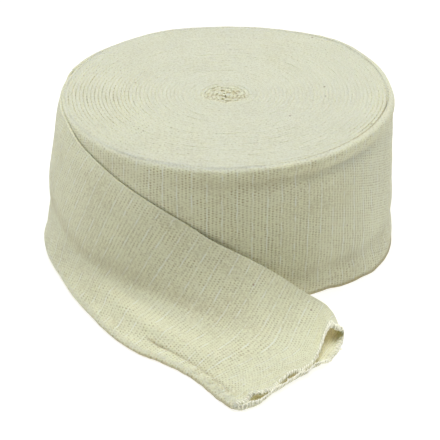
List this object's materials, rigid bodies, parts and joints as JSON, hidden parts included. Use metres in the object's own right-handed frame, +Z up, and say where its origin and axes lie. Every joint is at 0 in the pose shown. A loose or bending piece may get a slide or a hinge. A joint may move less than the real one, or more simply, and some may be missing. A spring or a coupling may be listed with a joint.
{
  "type": "tubular bandage roll",
  "caption": "Flat-wound roll of knitted tubular bandage lying on its side face, its last lap drawn off and its cut open end lying flat in front.",
  "frame": {"origin": "centre of the roll's flat lower side, on the surface it lies on", "axes": "+Z up along the winding axis, +X out of the cut open end that lies in front of the roll"},
  "size_m": [0.2015, 0.2113, 0.0763],
  "materials": {
    "wound_cloth": "matte knit",
    "loose_cloth": "matte knit"
  },
  "bodies": {
    "root": {"wound_roll": "wound_cloth", "loose_end": "loose_cloth"}
  },
  "joints": []
}
